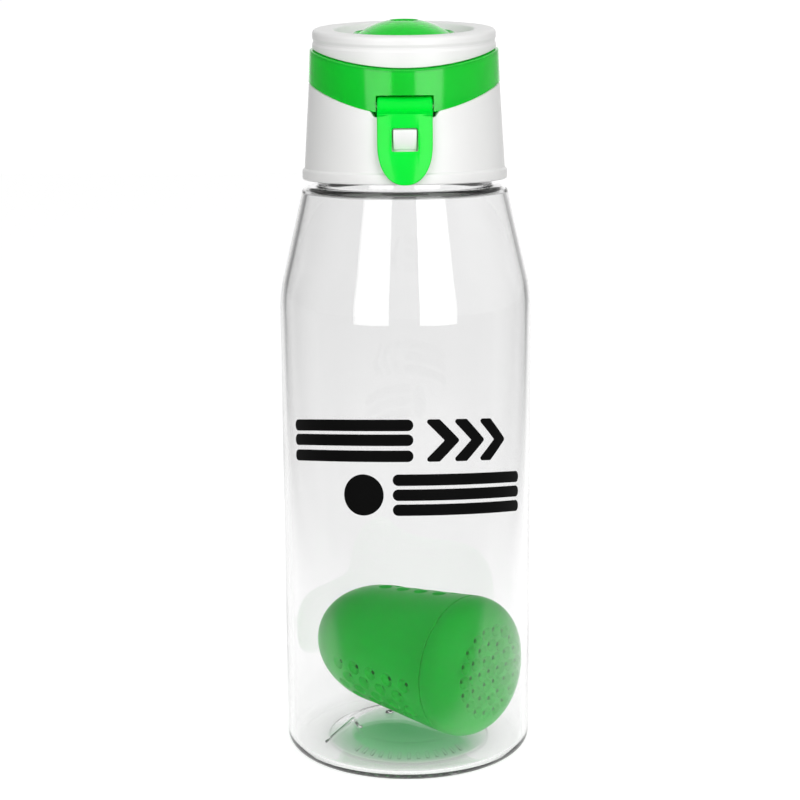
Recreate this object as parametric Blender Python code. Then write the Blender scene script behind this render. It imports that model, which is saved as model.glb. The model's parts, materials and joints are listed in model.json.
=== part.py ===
"""Wide-mouth sports bottle with a screw collar, a latched flip lid and a floating infuser.

The bottle stands on Z = 0 with its axis on Z. The latch is at the front (-Y) and the lid
hinge at the back (+Y). Lengths below are millimetres, and new_object turns them into metres.
"""

import math

import bmesh
import bpy
from mathutils import Matrix, Vector

MM = 0.001
GAP = 0.3                 # clearance left between pieces that touch
SEGMENTS = 40             # sides of the large round pieces
FINE_SEGMENTS = 24        # sides of the spout, pins and barrels

# Bottle body
BODY_R = 41.5
WALL = 1.8
BASE_CORNER_R = 4.5
FOOT_INNER_R = 27.0       # the foot is a flat ring from here to the base corner
FLOOR_Z = 2.3
PUSH_UP_R = 20.5
PUSH_UP_RISE = 4.5        # how far the middle of the base is raised
PUSH_UP_EDGE = 3.3        # how far its edge is raised
KNEE_Z = 155.5            # where the straight side meets the shoulder cone
KNEE_R = 50.0             # radius that blends side and cone
SHOULDER_R = 33.3
SHOULDER_Z = 190.5
SHOULDER_EDGE_R = 1.3
NECK_R = 28.6
BORE_R = 26.2
NECK_TOP_Z = 206.5
GASKET_INNER_R = 25.9
GASKET_OUTER_R = 28.9

# Screw thread, right-handed, one start
PITCH = 4.0
TURNS = 1.5
THREAD_HEIGHT = 1.1
THREAD_ROOT_W = 2.0
THREAD_CREST_W = 1.1
NECK_THREAD_Z = 197.0
COLLAR_ROOT_R = 30.1

# Collar
LIP_R = 33.4
LIP_Z = 192.8
LIP_H = 3.1
LIP_CHAMFER = 0.6
SKIRT_R = 32.65
SKIRT_TOP_R = 30.7
SKIRT_TOP_Z = 226.0
RIM_INNER_R = 29.2
ROOF_Z = 208.6
ROOF_T = 2.0
LINK_ROOM_Z = 213.4       # the skirt is cut down to here for the latch's link
SPOUT_Y = -8.0
SPOUT_R = 12.6
SPOUT_TIP_R = 12.0
SPOUT_BORE_R = 10.2
SPOUT_TOP_Z = 230.5
ROOT = 0.5                # how far a joined piece sinks into what carries it

# Lid: its top plane leans down to the front by LID_SLOPE
LID_SLOPE = 0.1017
LID_TOP_Z = 240.8
RING_R = 29.65
RING_WAIST_R = 29.3
RING_INNER_R = 27.95
RING_GROOVE_Z = (236.1, 236.8, 237.4, 238.3)     # start, floor, floor and end of its groove
RING_SEAT_R = 23.9        # the dish floor thickens outside this
RING_SEAT = 1.2
RIM_R = 22.6
DISH_DEPTH = 3.0
DOME_TOP_Z = 244.0
DOME_BALL_R = 26.0
DOME_R = 16.3
DOME_T = 1.7
DOME_INNER_R = 14.5
RECESS_R = 4.4            # the small recess in the middle of the dome
RECESS_DEPTH = 0.9
DECK_T = 1.5
CAP_R = 27.65
CAP_INNER_R = 25.9
CAP_ROOF_T = 1.8
BAND_INNER_R = 26.8
BAND_R_AT_BOTTOM = 31.87
BAND_R_AT_TOP = 30.2
LINER_R = 24.0
LINER_T = 1.4
LINER_BOTTOM_Z = 212.0

# Side-view arcs: each is level from the vertex to the back and falls away to the front
PARTING_ARC = (4.0, 223.8, 67.7)       # vertex y, vertex z, radius
RING_EDGE_ARC = (11.3, 235.3, 123.6)

# Lid hinge at the back
HINGE_Y = 33.8
HINGE_Z = 228.2
HINGE_EYE_R = 2.5
HINGE_PIN_R = 1.2
KNUCKLE_HALF = 4.7
EAR_OUTER = 8.8
EAR_Y = (29.8, 31.2)      # inside and outside of the ears' feet, on the skirt
EAR_Z = (212.0, 223.0, 224.0)        # foot, front step and back step

# Latch at the front
LATCH_Y = -27.6
LATCH_Z = 216.8
LATCH_BARREL_R = 3.0
LATCH_HALF = 8.6
LATCH_PIN_R = 0.8
LATCH_PIN_HALF = 10.3
LATCH_TIP_Z = 192.9
LATCH_ROUND_Z = 205.6
TONGUE_TOP_Z = 214.6
TONGUE_R = 31.8           # inner face at z = 213.8
TONGUE_FLARE = 0.103      # growth of that radius per millimetre down
TONGUE_T = 1.8
WINDOW_HALF = 4.05
WINDOW_Z = (203.2, 210.3)
CATCH_Y = (-30.6, -32.5, -33.9)      # root, toe and crest of the ramp
FRONT_Y = -45.0           # in front of the whole bottle

# Infuser: a tapered capsule that lies across the bottle, cap end at the front right
INFUSER_L = 73.5
INFUSER_CAP_R = 23.6
INFUSER_TIP_R = 20.5
INFUSER_DOME_L = 30.0
INFUSER_ROUND = 10.0
INFUSER_SEAM = 11.0
INFUSER_WALL = 1.6
SPIGOT_R = 21.2
SPIGOT_L = 16.0
INFUSER_YAW = math.radians(41.0)
INFUSER_CENTRE = (-0.6, 2.2, 31.2)


def clear_scene():
    for old in list(bpy.data.objects):
        bpy.data.objects.remove(old, do_unlink=True)


def material(name, colour, roughness, alpha=1.0):
    mat = bpy.data.materials.new(name)
    mat.use_nodes = True
    shader = mat.node_tree.nodes["Principled BSDF"]
    shader.inputs["Base Color"].default_value = (*colour, 1.0)
    shader.inputs["Roughness"].default_value = roughness
    shader.inputs["Metallic"].default_value = 0.0
    shader.inputs["Alpha"].default_value = alpha
    return mat


def new_object(name, bm, mat=None):
    """Close a bmesh built in millimetres into a named object in metres."""
    bmesh.ops.remove_doubles(bm, verts=bm.verts, dist=0.0005)
    bmesh.ops.recalc_face_normals(bm, faces=bm.faces)
    bmesh.ops.scale(bm, vec=(MM, MM, MM), verts=bm.verts)
    mesh = bpy.data.meshes.new(name)
    bm.to_mesh(mesh)
    bm.free()
    mesh.shade_smooth()
    mesh.set_sharp_from_angle(angle=math.radians(35.0))
    if mat:
        mesh.materials.append(mat)
    obj = bpy.data.objects.new(name, mesh)
    bpy.context.scene.collection.objects.link(obj)
    return obj


def apply_boolean(target, cutter, operation):
    """Keep the cutter as a hidden wire guide and leave the modifier live."""
    cutter.hide_render = True
    cutter.display_type = "WIRE"
    mod = target.modifiers.new(f"{operation.lower()} {cutter.name}", "BOOLEAN")
    mod.operation = operation
    mod.solver = "EXACT"
    mod.object = cutter


def cut(target, *cutters):
    for cutter in cutters:
        apply_boolean(target, cutter, "DIFFERENCE")


def join(target, *pieces):
    for piece in pieces:
        apply_boolean(target, piece, "UNION")


def rounded(corners, steps=3):
    """Turn (r, z) or (r, z, radius) corners into points, with an arc at each rounded one."""
    points = []
    for i, corner in enumerate(corners):
        here = Vector(corner[:2])
        radius = corner[2] if len(corner) > 2 else 0.0
        if not radius:
            points.append(tuple(here))
            continue
        to_last = (Vector(corners[i - 1][:2]) - here).normalized()
        to_next = (Vector(corners[(i + 1) % len(corners)][:2]) - here).normalized()
        half = to_last.angle(to_next) / 2.0
        centre = here + (to_last + to_next).normalized() * (radius / math.sin(half))
        start = here + to_last * (radius / math.tan(half)) - centre
        end = here + to_next * (radius / math.tan(half)) - centre
        sweep = start.angle_signed(end)
        for step in range(steps + 1):
            turned = start.copy()
            turned.rotate(Matrix.Rotation(-sweep * step / steps, 2))
            points.append(tuple(centre + turned))
    return points


def revolve(name, points, mat=None, closed=True, segments=SEGMENTS, centre_y=0.0, slope=0.0):
    """Spin (r, z) points about a vertical axis. An open chain starts and ends on the axis."""
    bm = bmesh.new()
    verts = [bm.verts.new((r, 0.0, z)) for r, z in points]
    pairs = list(zip(verts, verts[1:]))
    if closed:
        pairs.append((verts[-1], verts[0]))
    edges = [bm.edges.new(pair) for pair in pairs]
    bmesh.ops.spin(bm, geom=verts + edges, cent=(0, 0, 0), axis=(0, 0, 1),
                   angle=math.tau, steps=segments, use_merge=True)
    bmesh.ops.translate(bm, verts=bm.verts, vec=(0, centre_y, 0))
    shear(bm, slope)
    return new_object(name, bm, mat)


def shear(bm, slope):
    """Lean level faces down to the front and keep the walls upright."""
    lean = Matrix.Identity(4)
    lean[2][1] = slope
    bmesh.ops.transform(bm, matrix=lean, verts=bm.verts)


def prism_x(name, outline, half, mat=None):
    """Extrude a (y, z) outline along X, from -half to +half."""
    return prism(name, [(-half, y, z) for y, z in outline], (2.0 * half, 0, 0), mat)


def prism(name, outline, depth, mat=None):
    bm = bmesh.new()
    face = bm.faces.new([bm.verts.new(point) for point in outline])
    grown = bmesh.ops.extrude_face_region(bm, geom=[face])
    moved = [item for item in grown["geom"] if isinstance(item, bmesh.types.BMVert)]
    bmesh.ops.translate(bm, verts=moved, vec=depth)
    return new_object(name, bm, mat)


def circle_points(centre, radius, start, end, steps):
    """Points of an arc, angles in degrees measured from the first axis to the second."""
    angles = [math.radians(start + (end - start) * i / steps) for i in range(steps + 1)]
    return [(centre[0] + radius * math.cos(a), centre[1] + radius * math.sin(a)) for a in angles]


def arc_z(arc, y):
    """Height of a side-view arc at y."""
    vertex_y, vertex_z, radius = arc
    run = max(0.0, vertex_y - y)
    return vertex_z - (radius - math.sqrt(radius * radius - run * run))


def arc_half_space(name, arc, offset, above):
    """A block that fills the space above or below a side-view arc."""
    front, back, steps = -40.0, 42.0, 12
    level_from = arc[0]
    ys = [front + (level_from - front) * i / steps for i in range(steps + 1)] + [back]
    outline = [(y, arc_z(arc, y) + offset) for y in ys]
    far = 270.0 if above else 180.0
    return prism_x(name, outline + [(back, far), (front, far)], 45.0)


def thread(name, root_r, height, start_z):
    """A helical rib. A negative height grows inwards, as on a nut. Its foot sinks by ROOT."""
    sink = math.copysign(ROOT, -height)
    section = [
        (root_r + sink, -THREAD_ROOT_W / 2),
        (root_r, -THREAD_ROOT_W / 2),
        (root_r + height, -THREAD_CREST_W / 2),
        (root_r + height, THREAD_CREST_W / 2),
        (root_r, THREAD_ROOT_W / 2),
        (root_r + sink, THREAD_ROOT_W / 2),
    ]
    bm = bmesh.new()
    steps = int(SEGMENTS * TURNS)
    rings = []
    for step in range(steps + 1):
        angle = math.tau * TURNS * step / steps
        lift = start_z + PITCH * TURNS * step / steps
        rings.append([
            bm.verts.new((r * math.cos(angle), r * math.sin(angle), lift + z)) for r, z in section
        ])
    for near, far in zip(rings, rings[1:]):
        for i in range(len(section)):
            j = (i + 1) % len(section)
            bm.faces.new((near[i], near[j], far[j], far[i]))
    bm.faces.new(rings[0])
    bm.faces.new(rings[-1])
    return new_object(name, bm)


def pin(name, centre, radius, half, mat=None, segments=FINE_SEGMENTS):
    outline = circle_points(centre, radius, 0.0, 360.0, segments)[:-1]
    return prism_x(name, outline, half, mat)


def build_bottle(mat):
    inner_r = BODY_R - WALL
    cone = (BODY_R - SHOULDER_R) / (SHOULDER_Z - KNEE_Z)
    shoulder_roof = SHOULDER_Z - WALL
    shoulder_inner_r = SHOULDER_R + cone * WALL - WALL * math.hypot(1.0, cone)
    profile = rounded([
        (0.0, PUSH_UP_RISE),
        (PUSH_UP_R - 1.0, PUSH_UP_EDGE),
        (FOOT_INNER_R, 0.0),
        (BODY_R, 0.0, BASE_CORNER_R),
        (BODY_R, KNEE_Z, KNEE_R),
        (SHOULDER_R, SHOULDER_Z, SHOULDER_EDGE_R),
        (NECK_R, SHOULDER_Z, 0.8),
        (NECK_R, NECK_TOP_Z, 0.5),
        (BORE_R, NECK_TOP_Z, 0.5),
        (BORE_R, shoulder_roof, 1.0),
        (shoulder_inner_r, shoulder_roof, 1.0),
        (inner_r, KNEE_Z, KNEE_R),
        (inner_r, FLOOR_Z, BASE_CORNER_R - WALL),
        (FOOT_INNER_R + 0.6, FLOOR_Z),
        (PUSH_UP_R, FLOOR_Z + PUSH_UP_EDGE),
        (0.0, FLOOR_Z + PUSH_UP_RISE),
    ])
    body = revolve("bottle_body", profile, mat, closed=False)
    join(body, thread("neck_thread_guide", NECK_R, THREAD_HEIGHT, NECK_THREAD_Z))


def build_gasket(mat):
    low = NECK_TOP_Z + GAP
    high = ROOF_Z - GAP
    revolve("neck_gasket", [(GASKET_INNER_R, low), (GASKET_OUTER_R, low),
                            (GASKET_OUTER_R, high), (GASKET_INNER_R, high)], mat)


def build_collar(mat):
    skirt = rounded([
        (0.0, ROOF_Z),
        (COLLAR_ROOT_R, ROOF_Z),
        (COLLAR_ROOT_R, LIP_Z),
        (LIP_R, LIP_Z, 0.4),
        (LIP_R, LIP_Z + LIP_H, 0.5),
        (SKIRT_R, LIP_Z + LIP_H + LIP_CHAMFER),
        (SKIRT_TOP_R, SKIRT_TOP_Z),
        (RIM_INNER_R, SKIRT_TOP_Z),
        (RIM_INNER_R, ROOF_Z + ROOF_T, 1.0),
        (0.0, ROOF_Z + ROOF_T),
    ], steps=2)
    collar = revolve("collar", skirt, mat, closed=False)
    spout = rounded([
        (0.0, ROOF_Z + ROOT),
        (SPOUT_R, ROOF_Z + ROOT),
        (SPOUT_TIP_R, SPOUT_TOP_Z, 1.2),
        (0.0, SPOUT_TOP_Z),
    ])
    spout_guide = revolve("spout_guide", spout, closed=False, segments=FINE_SEGMENTS,
                          centre_y=SPOUT_Y)
    bore = [(0.0, ROOF_Z - 3.0), (SPOUT_BORE_R, ROOF_Z - 3.0),
            (SPOUT_BORE_R, SPOUT_TOP_Z + 6.0), (0.0, SPOUT_TOP_Z + 6.0)]
    front_y, back_y, over_z = -30.0, 14.0, SPOUT_TOP_Z + 20.0
    trim = prism_x("spout_trim", [
        (front_y, SPOUT_TOP_Z + front_y * LID_SLOPE), (back_y, SPOUT_TOP_Z + back_y * LID_SLOPE),
        (back_y, over_z), (front_y, over_z),
    ], 20.0)
    cut(collar, arc_half_space("collar_top_cut", PARTING_ARC, 0.0, above=True))
    join(collar, spout_guide, *hinge_ears(), latch_catch())
    join(collar, thread("collar_thread_guide", COLLAR_ROOT_R, -THREAD_HEIGHT,
                        NECK_THREAD_Z + PITCH / 2.0))
    inside_y, over_z = -24.0, 240.0
    link_room = [(FRONT_Y, LINK_ROOM_Z), (inside_y, LINK_ROOM_Z), (inside_y, over_z),
                 (FRONT_Y, over_z)]
    cut(collar,
        revolve("spout_bore", bore, closed=False, segments=FINE_SEGMENTS, centre_y=SPOUT_Y),
        trim,
        prism_x("latch_link_room", link_room, LATCH_HALF + 0.6),
        pin("ear_hole", (HINGE_Y, HINGE_Z), HINGE_PIN_R + GAP, EAR_OUTER + 2.0))


def hinge_ears():
    """Two ears that rise from the back of the skirt to the hinge pin."""
    eye = circle_points((HINGE_Y, HINGE_Z), HINGE_EYE_R, 180.0, 0.0, 10)
    (inside, outside), (foot, front_step, back_step) = EAR_Y, EAR_Z
    outline = [(inside, foot), (inside, front_step), (outside + 0.1, front_step + 0.2)] + eye
    outline += [(HINGE_Y + HINGE_EYE_R, back_step), (outside, foot)]
    width = EAR_OUTER - KNUCKLE_HALF - GAP
    middle = (EAR_OUTER + KNUCKLE_HALF + GAP) / 2.0
    ears = []
    for side in (-1, 1):
        start_x = side * middle - width / 2.0
        points = [(start_x, y, z) for y, z in outline]
        name = "ear_guide_left" if side < 0 else "ear_guide_right"
        ears.append(prism(name, points, (width, 0, 0)))
    return ears


def latch_catch():
    """The ramped catch that shows in the latch window."""
    root, toe, crest = CATCH_Y
    room = 0.4
    low, high = WINDOW_Z[0] + room, WINDOW_Z[1] - 0.35
    outline = [(root, low), (toe, low), (crest, high - 0.75), (crest + 0.3, high), (root, high)]
    return prism_x("catch_guide", outline, WINDOW_HALF - room)


def build_lid_ring(mat):
    floor = LID_TOP_Z - DISH_DEPTH
    hole_r = DOME_R + GAP
    under_z = 222.0
    groove = RING_GROOVE_Z
    profile = rounded([
        (RING_INNER_R, under_z),
        (RING_R, under_z),
        (RING_R, groove[0], 0.5),
        (RING_WAIST_R, groove[1]),
        (RING_WAIST_R, groove[2]),
        (RING_R - 0.05, groove[3], 0.5),
        (RING_R - 0.05, LID_TOP_Z, 1.3),
        (RIM_R, LID_TOP_Z, 1.0),
        (RIM_R - 0.8, floor, 0.6),
        (hole_r, floor),
        (hole_r, floor - DECK_T),
        (RING_SEAT_R, floor - DECK_T),
        (RING_SEAT_R, floor + RING_SEAT),
        (RING_INNER_R, floor + RING_SEAT),
    ], steps=2)
    ring = revolve("lid_ring", profile, mat, slope=LID_SLOPE)
    cut(ring, arc_half_space("ring_edge_cut", RING_EDGE_ARC, 0.0, above=False))


def build_lid_shell(mat):
    deck = LID_TOP_Z - DISH_DEPTH - DECK_T - GAP
    ball_z = DOME_TOP_Z - DOME_BALL_R
    ball = []
    for r in (RECESS_R + 0.5, 8.0, 11.0, 13.5, 15.5):
        ball.append((r, ball_z + math.sqrt(DOME_BALL_R ** 2 - r * r)))
    under = []
    for r in (DOME_INNER_R, 11.0, 6.5):
        under.append((r, ball_z - DOME_T + math.sqrt(DOME_BALL_R ** 2 - r * r)))
    dome_edge = LID_TOP_Z - DISH_DEPTH + 0.6
    recess = DOME_TOP_Z - RECESS_DEPTH
    roof = deck - CAP_ROOF_T
    cap_foot = 204.0
    profile = [(0.0, recess), (RECESS_R, recess)] + ball
    profile += [(DOME_R, dome_edge), (DOME_R, deck), (CAP_R, deck), (CAP_R, cap_foot)]
    profile += [(CAP_INNER_R, cap_foot), (CAP_INNER_R, roof), (DOME_INNER_R, roof)] + under
    profile += [(0.0, under[-1][1])]
    shell = revolve("lid_shell", profile, mat, closed=False, slope=LID_SLOPE)
    bottom, top = 205.0, 240.0
    band = revolve("band_guide", [(BAND_INNER_R, bottom), (BAND_R_AT_BOTTOM, bottom),
                                  (BAND_R_AT_TOP, top), (BAND_INNER_R, top)])
    cut(band, arc_half_space("band_top_cut", RING_EDGE_ARC, -GAP, above=True))
    knuckle = circle_points((HINGE_Y, HINGE_Z), HINGE_EYE_R, -90.0, 90.0, 10)
    root_y = 28.4
    knuckle += [(root_y, HINGE_Z + HINGE_EYE_R), (root_y, HINGE_Z - HINGE_EYE_R)]
    join(shell, band, prism_x("knuckle_guide", knuckle, KNUCKLE_HALF))
    room = LATCH_BARREL_R + 0.4
    under_z = 200.0
    notch = [(FRONT_Y, under_z), (FRONT_Y, LATCH_Z + room)]
    notch += circle_points((LATCH_Y, LATCH_Z), room, 90.0, 0.0, 8)
    notch += [(LATCH_Y + room, under_z)]
    cut(shell,
        arc_half_space("shell_bottom_cut", PARTING_ARC, GAP, above=False),
        prism_x("latch_notch", notch, LATCH_HALF + 0.35),
        pin("knuckle_hole", (HINGE_Y, HINGE_Z), HINGE_PIN_R + GAP, KNUCKLE_HALF + 2.0),
        pin("latch_pin_hole", (LATCH_Y, LATCH_Z), LATCH_PIN_R + GAP, LATCH_PIN_HALF + GAP,
            segments=16))


def build_liner(mat):
    top = LID_TOP_Z - DISH_DEPTH - 2.0 * DECK_T - 2.0 * GAP - 0.3
    profile = [(0.0, top), (LINER_R, top), (LINER_R, LINER_BOTTOM_Z),
               (LINER_R - LINER_T, LINER_BOTTOM_Z), (LINER_R - LINER_T, top - LINER_T),
               (0.0, top - LINER_T)]
    liner = revolve("lid_liner", profile, mat, closed=False, slope=LID_SLOPE)
    reach, under_z = 40.0, 190.0
    level = [(-reach, under_z), (reach, under_z), (reach, LINER_BOTTOM_Z),
             (-reach, LINER_BOTTOM_Z)]
    cut(liner, prism_x("liner_level_cut", level, reach))
    return top - LINER_T


def build_spout_seal(mat, ceiling):
    low = SPOUT_TOP_Z + GAP
    high = ceiling - GAP
    boss_r = SPOUT_BORE_R - 1.5
    profile = [(0.0, low - 1.4), (boss_r, low - 1.4), (boss_r, low), (SPOUT_TIP_R + 1.8, low),
               (SPOUT_TIP_R + 1.8, high), (0.0, high)]
    revolve("spout_seal", profile, mat, closed=False, segments=FINE_SEGMENTS,
            centre_y=SPOUT_Y, slope=LID_SLOPE)


def latch_outline():
    """Front view of the tongue: straight sides and a rounded tip, as (x, z)."""
    points = [(LATCH_HALF, TONGUE_TOP_Z + 1.0), (LATCH_HALF, LATCH_ROUND_Z)]
    drop = LATCH_ROUND_Z - LATCH_TIP_Z
    steps = 14
    for i in range(1, steps):
        angle = math.pi * i / steps
        side = math.copysign(abs(math.cos(angle)) ** 0.9, math.cos(angle))
        points.append((LATCH_HALF * side, LATCH_ROUND_Z - drop * math.sin(angle) ** 0.9))
    points += [(-LATCH_HALF, LATCH_ROUND_Z), (-LATCH_HALF, TONGUE_TOP_Z + 1.0)]
    return points


def build_latch(mat):
    def face_r(z):
        return TONGUE_R + (213.8 - z) * TONGUE_FLARE

    low = LATCH_TIP_Z - 1.0
    cone = [(face_r(low), low), (face_r(low) + TONGUE_T, low),
            (face_r(TONGUE_TOP_Z) + TONGUE_T, TONGUE_TOP_Z), (face_r(TONGUE_TOP_Z), TONGUE_TOP_Z)]
    through = (0, 35.0, 0)
    outline = prism("tongue_outline", [(x, FRONT_Y, z) for x, z in latch_outline()], through)
    latch = revolve("latch", cone, mat, segments=64)
    apply_boolean(latch, outline, "INTERSECT")
    link = [(LATCH_Y, 213.85), (-33.2, 213.85), (-33.5, TONGUE_TOP_Z),
            (-30.06, 215.08), (LATCH_Y, 216.0)]
    join(latch, prism_x("link_guide", link, LATCH_HALF - 0.02),
         pin("barrel_guide", (LATCH_Y, LATCH_Z), LATCH_BARREL_R, LATCH_HALF))
    low, high = WINDOW_Z
    corners = rounded([(-WINDOW_HALF, low, 0.4), (WINDOW_HALF, low, 0.4),
                       (WINDOW_HALF, high, 0.9), (-WINDOW_HALF, high, 0.9)], steps=2)
    window = prism("window_cut", [(x, FRONT_Y, z) for x, z in corners], through)
    cut(latch, window,
        pin("barrel_hole", (LATCH_Y, LATCH_Z), LATCH_PIN_R + GAP, LATCH_HALF + 2.0, segments=16))


def place_infuser(obj):
    """Lay a piece made along +Z from the cap's face on the capsule's axis."""
    direction = Vector((-math.cos(INFUSER_YAW), math.sin(INFUSER_YAW), 0.0))
    obj.rotation_mode = "QUATERNION"
    obj.rotation_quaternion = direction.to_track_quat("Z", "Y")
    obj.location = (Vector(INFUSER_CENTRE) - direction * (INFUSER_L / 2.0)) * MM


def build_infuser(basket_mat, cap_mat):
    shoulder = INFUSER_L - INFUSER_DOME_L
    steps = 6
    outer = [(INFUSER_CAP_R, INFUSER_SEAM + GAP)]
    inner = [(INFUSER_CAP_R - INFUSER_WALL, INFUSER_SEAM + GAP)]
    for i in range(steps + 1):
        angle = math.pi / 2.0 * i / steps
        outer.append((INFUSER_TIP_R * math.cos(angle),
                      shoulder + INFUSER_DOME_L * math.sin(angle)))
        inner.append(((INFUSER_TIP_R - INFUSER_WALL) * math.cos(angle),
                      shoulder + (INFUSER_DOME_L - INFUSER_WALL) * math.sin(angle)))
    outer[-1] = (0.0, INFUSER_L)
    inner[-1] = (0.0, INFUSER_L - INFUSER_WALL)
    basket = revolve("infuser_basket", outer[::-1] + inner, basket_mat, closed=False)
    place_infuser(basket)
    thick = INFUSER_WALL
    cap = rounded([
        (0.0, 0.0),
        (INFUSER_CAP_R, 0.0, INFUSER_ROUND),
        (INFUSER_CAP_R, INFUSER_SEAM),
        (SPIGOT_R, INFUSER_SEAM),
        (SPIGOT_R, SPIGOT_L),
        (SPIGOT_R - thick, SPIGOT_L),
        (SPIGOT_R - thick, thick, INFUSER_ROUND - 2.5),
        (0.0, thick),
    ], steps=5)
    place_infuser(revolve("infuser_cap", cap, cap_mat, closed=False))


def main():
    clear_scene()
    clear = material("clear copolyester", (0.86, 0.89, 0.90), 0.05, 0.25)
    white = material("white polypropylene", (0.86, 0.86, 0.85), 0.35)
    green = material("clear green copolyester", (0.01, 0.55, 0.05), 0.08, 0.75)
    matte_green = material("matte green polypropylene", (0.02, 0.40, 0.07), 0.55)
    silicone = material("translucent silicone", (0.75, 0.76, 0.75), 0.5)
    steel = material("stainless steel", (0.6, 0.6, 0.6), 0.3)
    steel.node_tree.nodes["Principled BSDF"].inputs["Metallic"].default_value = 1.0
    build_bottle(clear)
    build_gasket(silicone)
    build_collar(white)
    build_lid_ring(white)
    build_lid_shell(green)
    ceiling = build_liner(white)
    build_spout_seal(silicone, ceiling)
    pin("hinge_pin", (HINGE_Y, HINGE_Z), HINGE_PIN_R, EAR_OUTER, steel, segments=16)
    build_latch(green)
    pin("latch_pin", (LATCH_Y, LATCH_Z), LATCH_PIN_R, LATCH_PIN_HALF, steel, segments=12)
    build_infuser(matte_green, matte_green)


main()
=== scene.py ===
"""Looks of a clear sports bottle with a latched flip lid and a loose infuser.

Pieces are modelled in millimetres in the frame's own axes and finished in metres.
The latch is at the front (-Y) and the lid's hinge is at the back (+Y).
"""
import json
import math

import bmesh
import bpy
from mathutils import Matrix, Vector


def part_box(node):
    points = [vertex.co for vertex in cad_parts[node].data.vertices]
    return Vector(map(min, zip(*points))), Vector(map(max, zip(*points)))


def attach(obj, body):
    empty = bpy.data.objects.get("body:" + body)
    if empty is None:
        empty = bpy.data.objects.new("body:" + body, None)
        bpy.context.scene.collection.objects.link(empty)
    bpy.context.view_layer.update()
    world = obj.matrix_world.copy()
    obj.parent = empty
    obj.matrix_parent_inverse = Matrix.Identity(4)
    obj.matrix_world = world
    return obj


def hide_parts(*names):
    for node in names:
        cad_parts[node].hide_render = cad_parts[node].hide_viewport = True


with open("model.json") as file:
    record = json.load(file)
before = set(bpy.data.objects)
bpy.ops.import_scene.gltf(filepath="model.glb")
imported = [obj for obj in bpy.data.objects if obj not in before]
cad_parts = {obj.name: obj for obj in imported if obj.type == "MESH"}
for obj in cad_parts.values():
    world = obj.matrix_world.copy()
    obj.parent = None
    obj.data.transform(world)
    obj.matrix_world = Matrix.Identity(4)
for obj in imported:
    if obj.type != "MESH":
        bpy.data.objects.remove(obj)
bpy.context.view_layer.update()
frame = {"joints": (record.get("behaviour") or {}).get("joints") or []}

MM = 0.001
SIDES = 160               # sides of the large turned pieces
FINE_SIDES = 64           # sides of the spout, pins and barrels


def box_mm(node):
    low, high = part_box(node)
    return low / MM, high / MM


def joint_place(name):
    joint = next(j for j in frame["joints"] if j["name"] == name)
    return Vector(joint["pos_m"]) / MM, Vector(joint["axis"]).normalized()


# Sizes read from the frame
PRINT_T = 0.04            # the print stands proud of the wall by this
BODY_R = box_mm("bottle_body")[1].x - PRINT_T
NECK_TOP_Z = box_mm("bottle_body")[1].z
LIP_Z = box_mm("collar")[0].z
LIP_R = box_mm("collar")[1].x
RING_R = box_mm("lid_ring")[1].x
DOME_TOP_Z = box_mm("lid_shell")[1].z - 0.2
LINER_R = box_mm("lid_liner")[1].x
LINER_BOTTOM_Z = box_mm("lid_liner")[0].z
GASKET_LOW, GASKET_HIGH = box_mm("neck_gasket")
HINGE, LATCH = joint_place("lid_hinge")[0], joint_place("latch_hinge")[0]
INFUSER, CAP_WARD = joint_place("infuser_twist")

# Bottle
WALL = 1.8
SHOULDER_R = 33.3
SHOULDER_Z = 190.5
SHOULDER_EDGE_R = 2.2
KNEE_Z = 155.5            # where the straight side meets the shoulder cone
KNEE_R = 50.0
NECK_R = 28.6
BORE_R = 26.2
BASE_CORNER_R = 4.5
FOOT_INNER_R = 27.0
FLOOR_Z = 2.3
PUSH_UP_R = 20.5
PUSH_UP_RISE = 4.5        # how far the middle of the base is raised
PUSH_UP_EDGE = 3.3        # how far its edge is raised
PUSH_UP_BLEND_R = 12.0

# Print, laid out flat as (x, z) before it is wrapped round the bottle
ROW_DROP = 4.0            # how far a row has dropped at ROW_REACH from the middle
ROW_REACH = 44.0
TOP_ROW = (107.0, 120.6)
LOW_ROW = (89.6, 103.0)
STRIPE_H = 3.7
CHEVRON_T = 5.2

# Screw thread
PITCH = 4.0
TURNS = 1.5
NECK_THREAD_Z = 197.0
THREAD_HEIGHT = 1.1
THREAD_ROOT_HALF = 1.0
THREAD_CREST_HALF = 0.55
ROOT = 0.5                # how far a joined rib sinks into its wall

# Collar
THREAD_ROOT_R = 30.1
LIP_H = 3.1
SKIRT_R = 32.65
SKIRT_Z = 196.5
SKIRT_TOP_Z = 226.0       # before its top edge is cut to the parting line
SKIRT_TAPER = 0.0661      # loss of radius per millimetre up
SKIRT_MOVES = (212.0, 224.0)         # where the skirt starts to follow its edge, and where in full
RIM_INNER_R = 29.2
ROOF_Z = 208.6
ROOF_T = 2.0
LINK_ROOM_Y = -24.0       # the notch for the latch's link lies in front of this
LINK_ROOM_Z = 213.4
LINK_ROOM_HALF = 10.2
SPOUT_Y = -8.0
SPOUT_R = 12.6
SPOUT_TIP_R = 12.0
SPOUT_TOP_Z = 230.5
SPOUT_BORE_R = 10.2
CATCH_Y = (-30.6, -32.5, -33.9)      # root, toe and crest of the ramp

# Hinge
HINGE_EYE_R = 2.5
PIN_BORE_R = 1.5
KNUCKLE_HALF = 4.7
EAR_X = (5.0, 8.8)
EAR_Y = (29.9, 31.2)      # inside and outside of the ears' feet, on the skirt
EAR_Z = (212.0, 223.0, 224.0)        # foot, front step and back step

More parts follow.
